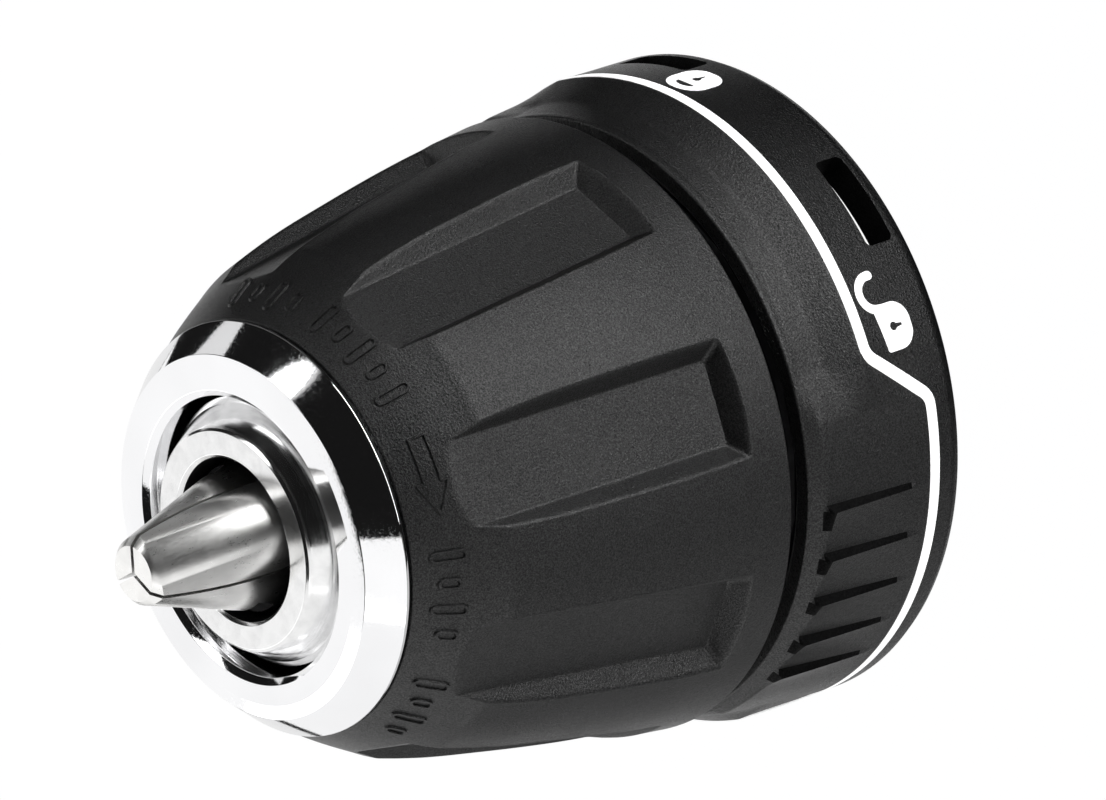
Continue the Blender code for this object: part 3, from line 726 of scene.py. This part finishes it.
def ring_line():
    """The white line round the lock ring, which steps back behind each grip."""
    grip = GRIP_CENTRES[1]
    stops = [(grip - 90.0, LINE_HIGH_Z)]
    for turn in (0.0, 180.0):
        stops += [(grip + turn + offset, z) for offset, z in LINE_STEPS]
    stops.append((grip + 270.0, LINE_HIGH_Z))
    to_x = math.radians(RING_RADIUS)
    corners = [(azimuth * to_x, z) for azimuth, z in stops]
    path = along(corners, closed=False, step=0.35, fillet=LINE_CORNER)
    verts = []
    faces = []
    strip(verts, faces, path, False, LINE_HALF_WIDTH, LINE_SECTION, lambda z: RING_RADIUS, RING_RADIUS)
    line = face_out(new_object("lock_ring_line", verts, faces, INK_AND_PAINTED_GLOW, sharp=50.0))
    place(line, "lock_ring", "ring_plastic")


def keyhole():
    """A round hole with a slot below it."""
    return arc(0.0, 1.65, 0.32, -60.0, 240.0) + [(-0.09, 0.85), (0.09, 0.85)]


def closed_lock():
    """Outlines of a shut padlock: its whole shape, the hole of its shackle and its keyhole."""
    outer = rounded([(-1.75, 0.0, 1.4), (1.75, 0.0, 1.4), (1.75, 3.9, 1.6), (-1.75, 3.9, 1.6)], 8)
    shackle = [(x, 2.65 + 0.7 * (y - 2.65)) for x, y in arc(0.0, 2.65, 0.85, 0.0, 180.0)]
    return [outer, shackle, keyhole()]


def open_lock():
    """Outlines of an open padlock: a body with its hook swung to one side, and its keyhole."""
    body = rounded([(1.72, 0.0, 1.4), (-1.72, 0.0, 1.4), (-1.72, 2.2, 0.0), (1.72, 2.75, 0.25)], 8)
    hook = arc(-2.68, 2.4, 0.92, 0.0, 180.0)
    cap = arc(-3.93, 2.2, 0.33, 0.0, -180.0, 7)
    back = arc(-2.68, 2.4, 1.58, 180.0, 22.0)
    split = body.index((-1.72, 2.2)) + 1
    return [body[:split] + hook + cap + back + body[split:], keyhole()]


def printed(verts, faces, outlines, azimuth, z):
    """Fills outlines of (x, z) points, even-odd, and lays the thin result round the lock ring.

    The flat shape is cut into narrow slices, so that it can bend with the ring.
    """
    curve = bpy.data.curves.new("print", "CURVE")
    curve.dimensions = "2D"
    curve.fill_mode = "BOTH"
    curve.extrude = INK_HALF_THICKNESS
    for outline in outlines:
        spline = curve.splines.new("POLY")
        spline.points.add(len(outline) - 1)
        for target, (x, y) in zip(spline.points, outline):
            target.co = (x, y, 0.0, 1.0)
        spline.use_cyclic_u = True
    item = bpy.data.objects.new("print", curve)
    bpy.context.scene.collection.objects.link(item)
    depsgraph = bpy.context.evaluated_depsgraph_get()
    work = bmesh.new()
    work.from_mesh(bpy.data.meshes.new_from_object(item.evaluated_get(depsgraph)))
    bmesh.ops.remove_doubles(work, verts=work.verts, dist=0.0001)
    for x in np.arange(*LOCK_REACH, LOCK_SLICE):
        everything = work.verts[:] + work.edges[:] + work.faces[:]
        bmesh.ops.bisect_plane(work, geom=everything, plane_co=(x, 0.0, 0.0),
                               plane_no=(1.0, 0.0, 0.0))
    work.verts.index_update()
    base = len(verts)
    for vert in work.verts:
        x, y, lift = vert.co
        radius = RING_RADIUS - INK_HALF_THICKNESS + INK_LIFT * (lift > 0.0) + lift
        verts.append(polar(radius, azimuth - math.degrees(x / RING_RADIUS), z + y))
    faces += [[base + vert.index for vert in face.verts] for face in work.faces]
    work.free()
    bpy.data.objects.remove(item)


def lock_signs():
    """The two printed padlocks, and the same again half a turn on."""
    verts = []
    faces = []
    for turn in (0.0, 180.0):
        printed(verts, faces, closed_lock(), CLOSED_LOCK_AZIMUTH + turn, LOCK_BOTTOM_Z)
        printed(verts, faces, open_lock(), OPEN_LOCK_AZIMUTH + turn, LOCK_BOTTOM_Z)
    signs = face_out(new_object("lock_ring_signs", verts, faces, INK_AND_PAINTED_GLOW, sharp=50.0))
    place(signs, "lock_ring", "ring_plastic")


# ---------------------------------------------------------------- lock ring


def grip_offset(angle):
    """Angle from the nearer grip's centre."""
    return (angle - GRIP_CENTRES[1] + 90.0) % 180.0 - 90.0


def ring_radius(angle, z):
    """Outer radius of the lock ring at a grid of azimuths and heights."""
    plain = rounded_steps(RING_PLAIN, z, RING_PLAIN_BLUR)
    pad = rounded_steps(RING_PAD, z, RING_PAD_BLUR)
    offset = grip_offset(angle)
    share = np.clip((GRIP_FULL + GRIP_FADE - np.abs(offset)) / GRIP_FADE, 0.0, 1.0)
    ground = plain + (pad - plain) * share
    rise = np.clip((z - RIB_REAR_Z) / (RIB_FULL_Z - RIB_REAR_Z), 0.0, 1.0) ** RIB_RISE_POWER
    front = np.clip((RIB_END_Z - z) / RIB_END_RUN, 0.0, 1.0)
    ribs = np.zeros_like(ground)
    for number in range(RIBS):
        behind = RIB_PITCH * (RIB_FIRST - number) - offset
        slope = np.clip(1.0 - behind / RIB_PITCH, 0.0, 1.0) ** RIB_FALL_POWER
        step = np.clip(1.0 + behind / RIB_STEP, 0.0, 1.0)
        ribs = np.maximum(ribs, RIB_HEIGHT * slope * step * (behind < RIB_PITCH))
    return ground + ribs * rise * front


def ring_columns():
    """Azimuths of the lock ring's rows, gathered at the ribs' steps and the grips' ends."""
    angles = [np.arange(0.0, 360.0, 1.25)]
    for centre in GRIP_CENTRES:
        for number in range(RIBS):
            angles.append(centre + RIB_PITCH * (RIB_FIRST - number) + np.arange(-0.6, 1.5, 0.15))
        angles += [centre + side * np.arange(34.0, 47.0, 0.5) for side in (-1.0, 1.0)]
    return np.unique((np.concatenate(angles) % 360.0).round(2))


def window_cutter(azimuth):
    """A prism that points outwards through the ring. Its floor slopes up towards the inside."""
    half_width = WINDOW_SIZE[0] / 2
    half_height = WINDOW_SIZE[1] / 2
    outline = rounded([
        (-half_width, -half_height, WINDOW_CORNER), (half_width, -half_height, WINDOW_CORNER),
        (half_width, half_height, WINDOW_CORNER), (-half_width, half_height, WINDOW_CORNER)])
    cutter = prism("window", outline, *WINDOW_CUT)
    for vert in cutter.data.vertices:
        if vert.co.z < sum(WINDOW_CUT) / 2 * MM and vert.co.y < 0.0:
            vert.co.y += WINDOW_RISE * MM
    upright = Matrix(((0, 0, 1, 0), (1, 0, 0, 0), (0, 1, 0, WINDOW_Z * MM), (0, 0, 0, 1)))
    cutter.matrix_world = Matrix.Rotation(math.radians(azimuth), 4, "Z") @ upright
    return cutter


def in_ring_painted_shade(radius, azimuth, z):
    """True where the ring gets painted shade: inside a window, and on the steep side and the front foot
    of a rib.
    """
    in_wall = WINDOW_DARK_RADIUS[0] < radius < WINDOW_DARK_RADIUS[1]
    if in_wall and WINDOW_DARK_Z[0] < z < WINDOW_DARK_Z[1]:
        for window in WINDOWS:
            if abs((azimuth - window + 180.0) % 360.0 - 180.0) < WINDOW_DARK_ANGLE:
                return True
    if radius <= RIB_DARK_RADIUS:
        return False
    on_step = RIB_DARK_Z[0] < z < RIB_FRONT_Z
    on_foot = RIB_FULL_Z < z < RIB_DARK_Z[1]
    for number in range(RIBS):
        beyond = grip_offset(azimuth) - RIB_PITCH * (RIB_FIRST - number)
        if on_step and 0.0 < beyond < RIB_STEP or on_foot and -RIB_DARK_ANGLE < beyond <= 0.0:
            return True
    return False


def lock_ring():
    """The ring as one closed skin: rear edge, ribbed outside, lip and inside, row by row."""
    angles = ring_columns()
    # Rows lie close together where the outline bends and where the ribs end.
    heights = np.concatenate([
        np.linspace(1.0, 3.6, 8), np.arange(3.75, 4.6, 0.15), np.linspace(4.8, 7.9, 12),
        np.arange(8.0, 9.0, 0.12), np.linspace(9.1, 11.9, 13), np.arange(12.0, 12.9, 0.06),
        [13.0, 13.1, 13.2]])
    outer = ring_radius(angles[None, :], heights[:, None])
    rear = rounded([(21.7, 0.0, 0.0), (22.9, 0.0, 0.25), (23.6, 0.35, 0.3),
                    (RING_RADIUS, 1.0, 0.0)])[1:-1]
    lip = rounded([(22.3, 13.0, 0.0), (22.22, RING_LIP_Z, 0.22), (21.1, RING_LIP_Z, 0.0)])[1:-1]
    rows = [np.full(len(angles), radius) for radius, _ in rear]
    rows += list(outer)
    rows += [np.full(len(angles), radius) for radius, _ in lip]
    rows += [np.full(len(angles), radius) for _, radius in RING_INSIDE]
    levels = [z for _, z in rear] + list(heights)
    levels += [z for _, z in lip] + [z for z, _ in RING_INSIDE]
    sections = on_axis(np.array(rows), angles, levels)
    ring = all_round("lock_ring_shell", sections, RING_PLASTIC, sharp=RING_SHARP)
    for azimuth in WINDOWS:
        boolean(ring, window_cutter(azimuth))
    finish_edges(ring, RING_SHARP)
    # Painted shade on the windows' insides and on the ribs' steep sides and front feet.
    paint_shade(ring, PAINTED_SHADE_PLASTIC, in_ring_painted_shade)
    place(ring, "lock_ring", "ring_plastic", "lock_ring")


# ---------------------------------------------------------------- nose and jaws


def nose_ring():
    """Chromed ring: front edge and cone, flat face, mouth and the part inside the sleeve."""
    outline = rounded([
        (13.3, 43.95, 0.0), (14.87, 43.95, 0.08), (14.87, 44.2, 0.12), (13.05, 46.42, 0.12),
        (12.0, 46.6, 0.1), (10.55, 46.6, 0.1), (10.07, 46.2, 0.1), (10.07, 40.0, 0.1),
        (13.2, 40.0, 0.1), (13.3, 40.3, 0.0)])
    ring = turned("nose_ring_chrome", outline, CHROME, segments=256, sharp=60.0)
    place(ring, "sleeve", "chrome", "nose_ring")


def jaw_matrix(azimuth):
    """Local +Z runs along a jaw's axis to its tip, and local +X is its outer side."""
    turn = Matrix.Rotation(math.radians(azimuth), 4, "Z")
    shift = Matrix.Translation(Vector((JAW_AXIS_X, 0.0, JAW_TIP_Z)) * MM)
    return turn @ shift @ Matrix.Rotation(math.radians(-JAW_TILT), 4, "Y")


def in_bore(radius, azimuth, z):
    """True at any azimuth, within the bore's limits."""
    return radius < BORE_RADIUS and BORE_Z[0] < z < BORE_Z[1]


def chuck_body():
    """Turned body: hub, flange and neck, the cone and face of its nose, then back down its bore."""
    outline = rounded([
        (3.6, 13.6, 0.0), (8.3, 13.6, 0.2), (8.8, 14.1, 0.2), (8.8, 19.7, 0.0), (16.6, 19.7, 0.2),
        (16.6, 23.2, 0.2), (8.2, 23.2, 0.0), (8.2, 34.7, 0.0), (9.7, 34.7, 0.1), (9.7, 44.6, 0.15),
        (9.25, 45.0, 0.15), (8.0, 47.05, 0.15), (7.8, 47.2, 0.08), (6.12, 47.2, 0.1),
        (5.87, 46.95, 0.1), (5.87, 40.0, 0.0), (2.9, 39.0, 0.0), (2.9, 29.4, 0.0),
        (1.95, 29.4, 0.0), (1.95, 26.5, 0.0), (3.6, 26.5, 0.0)])
    body = turned("chuck_body_turned", outline, NOSE_STEEL)
    circle = [tuple(polar(JAW_HOLE_RADIUS, 7.5 * step, 0.0).xy) for step in range(48)]
    for azimuth in JAW_AZIMUTHS:
        hole = prism("jaw_hole", circle, *JAW_HOLE_ENDS)
        hole.matrix_world = jaw_matrix(azimuth)
        boolean(body, hole)
    finish_edges(body)
    # Painted shade: the bore is near-black.
    paint_shade(body, PAINTED_SHADE_STEEL, in_bore)
    place(body, "spindle", "nose_steel", "chuck_body")


def jaw_wedge(azimuth):
    """The third of the space that one jaw may fill, as a prism that is larger than the jaw."""
    apex = polar(JAW_HALF_GAP / math.sin(math.radians(60.0)), azimuth, 0.0)
    reach = ((24.0, -60.0), (30.0, 0.0), (24.0, 60.0))
    lowest = 20.0
    points = [apex] + [apex + polar(length, azimuth + turn, 0.0) for length, turn in reach]
    return prism("jaw_wedge", [tuple(point.xy) for point in points], lowest, JAW_END_Z)


def jaw_teeth(azimuth):
    """Blocks that cut grooves across a jaw's outer side, where the nut's thread passes it."""
    phase = JAW_THREAD_PITCH * azimuth / 360.0
    first = math.floor((-JAW_LENGTH - phase) / JAW_THREAD_PITCH)
    last = math.floor((JAW_THREAD_TOP - phase) / JAW_THREAD_PITCH)
    # The blocks reach past the rod's outer side and both its flanks.
    outside = 5.0
    side = 4.0
    corners = ((JAW_GROOVE_FLOOR, -side), (outside, -side), (outside, side), (JAW_GROOVE_FLOOR, side))
    verts = []
    faces = []
    for turn in range(first, last + 1):
        base = len(verts)
        for height in (-JAW_GROOVE_HALF_WIDTH, JAW_GROOVE_HALF_WIDTH):
            verts += [(x, y, turn * JAW_THREAD_PITCH + phase + height) for x, y in corners]
        for face in ((0, 1, 2, 3), (4, 5, 6, 7), (0, 1, 5, 4), (1, 2, 6, 5), (2, 3, 7, 6), (3, 0, 4, 7)):
            faces.append([base + corner for corner in face])
    teeth = face_out(new_object("jaw_teeth", verts, faces))
    teeth.matrix_world = jaw_matrix(azimuth)
    return teeth


def jaw(number, azimuth):
    """A ground rod, cut to its third of the space, pointed by a cone and grooved for the nut."""
    segments = 96
    rod = [(NEAR_AXIS, -JAW_LENGTH), (JAW_RADIUS - JAW_CHAMFER, -JAW_LENGTH),
           (JAW_RADIUS, JAW_CHAMFER - JAW_LENGTH), (JAW_RADIUS, JAW_OVERRUN), (NEAR_AXIS, JAW_OVERRUN)]
    shade = ground_steel(f"jaw_{number}_look", (0.9, 0.895, 0.88), 0.3, 0.0000012, JAW_TILT, azimuth)
    # One degree of turn keeps the rod's corners off the planes of the wedge.
    angles = np.arange(segments) * 360.0 / segments + 1.0
    radii = np.array([radius for radius, _ in rod])[:, None] * np.ones(segments)
    item = all_round(f"jaw_{number}_ground", on_axis(radii, angles, [z for _, z in rod]), shade)
    item.data.transform(jaw_matrix(azimuth))
    boolean(item, jaw_wedge(azimuth), "INTERSECT")
    # A cone of 45 degrees bevels the tip.
    height = 30.0
    cone = [(NEAR_AXIS, JAW_END_Z - height), (JAW_FLAT_RADIUS + height, JAW_END_Z - height),
            (JAW_FLAT_RADIUS, JAW_END_Z), (NEAR_AXIS, JAW_END_Z)]
    boolean(item, turned("jaw_cone", cone, None, segments=180), "INTERSECT")
    boolean(item, jaw_teeth(azimuth))
    finish_edges(item)
    inverse = jaw_matrix(azimuth).inverted()

    def in_groove(radius, turn, z):
        x, y, length = inverse @ (polar(radius, turn, z) * MM) / MM
        return length < GROOVE_TOP and x > GROOVE_INSIDE and math.hypot(x, y) < GROOVE_OUTSIDE

    # Painted shade in the thread grooves.
    paint_shade(item, PAINTED_SHADE_STEEL, in_groove)
    place(item, f"jaw_{number}", "jaw_steel", f"jaw_{number}")


# ---------------------------------------------------------------- stage


def floor():
    """A pale sweep, flat near the chuck and rising far away.

    It only shows to the camera, and glows by itself, so that no shadow falls on it.
    """
    outline = [(0.1, 0.0), (FLOOR_FLAT, 0.0)] + arc(FLOOR_FLAT, FLOOR_RISE, FLOOR_RISE, -80.0, 60.0, 24)
    steps = range(FLOOR_SEGMENTS)
    verts = []
    for radius, z in outline:
        verts += [polar(radius, 360.0 * step / FLOOR_SEGMENTS, z - FLOOR_GAP) for step in steps]
    faces = []
    for row in range(len(outline) - 1):
        near = FLOOR_SEGMENTS * row
        far = near + FLOOR_SEGMENTS
        for step in steps:
            turn = (step + 1) % FLOOR_SEGMENTS
            faces.append([near + step, near + turn, far + turn, far + step])
    pale = Nodes("pale_floor", Roughness=0.9, Specular_IOR_Level=0.1, Emission_Strength=1.0)
    glow = pale.blend(pale.noise(3.0), (1.0, 1.0, 1.0), (0.995, 0.995, 1.0))
    pale.link(Base_Color=(0.0, 0.0, 0.0, 1.0), Emission_Color=glow)
    item = new_object("floor", verts, faces, pale.material)
    item.visible_diffuse = False
    item.visible_glossy = False
    item.visible_shadow = False


def panel(name, azimuth, elevation, half_width, half_height, radiance, shape):
    """A soft flat light that fills the given half angles as seen from the chuck."""
    data = bpy.data.lights.new(name, "AREA")
    data.shape = shape
    data.size = 2.0 * LIGHT_DISTANCE * MM * math.tan(math.radians(half_width))
    data.size_y = 2.0 * LIGHT_DISTANCE * MM * math.tan(math.radians(half_height))
    area = data.size * data.size_y * (math.pi / 4.0 if shape == "ELLIPSE" else 1.0)
    data.energy = radiance * math.pi * area
    item = bpy.data.objects.new(name, data)
    bpy.context.scene.collection.objects.link(item)
    towards = direction(azimuth, elevation)
    item.location = (towards * LIGHT_DISTANCE + Vector((0.0, 0.0, LIGHT_TARGET_Z))) * MM
    item.rotation_mode = "QUATERNION"
    item.rotation_quaternion = towards.to_track_quat("Z", "Y")
    item.visible_camera = False


def surroundings():
    """A nearly black world, so that only the lights show in the chrome."""
    world = bpy.data.worlds.new("studio")
    world.use_nodes = True
    grey = (WORLD_GREY, WORLD_GREY, WORLD_GREY, 1.0)
    world.node_tree.nodes["Background"].inputs["Color"].default_value = grey
    bpy.context.scene.world = world


def camera():
    """A long lens, turned about its own axis by the roll."""
    data = bpy.data.cameras.new("camera")
    data.sensor_width = CAMERA_SENSOR
    data.lens = CAMERA_LENS
    data.clip_start, data.clip_end = (limit * MM for limit in CAMERA_CLIP)
    back = direction(CAMERA_AZIMUTH, CAMERA_ELEVATION)
    level_up = (Vector((0.0, 0.0, 1.0)) - back * back.z).normalized()
    level_right = level_up.cross(back)
    roll = math.radians(CAMERA_ROLL)
    up = level_up * math.cos(roll) + level_right * math.sin(roll)
    right = up.cross(back)
    turn = Matrix((right, up, back)).transposed().to_4x4()
    item = bpy.data.objects.new("camera", data)
    item.matrix_world = Matrix.Translation((Vector(CAMERA_TARGET) + back * CAMERA_DISTANCE) * MM) @ turn
    bpy.context.scene.collection.objects.link(item)
    bpy.context.scene.camera = item
    bpy.context.scene.view_settings.view_transform = "Standard"


dress_cad_nodes()
camera()
for light in LIGHTS:
    panel(*light)
surroundings()
floor()
grip_sleeve()
sleeve_marks()
lock_ring()
ring_line()
lock_signs()
nose_ring()
chuck_body()
for jaw_number, jaw_azimuth in enumerate(JAW_AZIMUTHS, start=1):
    jaw(jaw_number, jaw_azimuth)
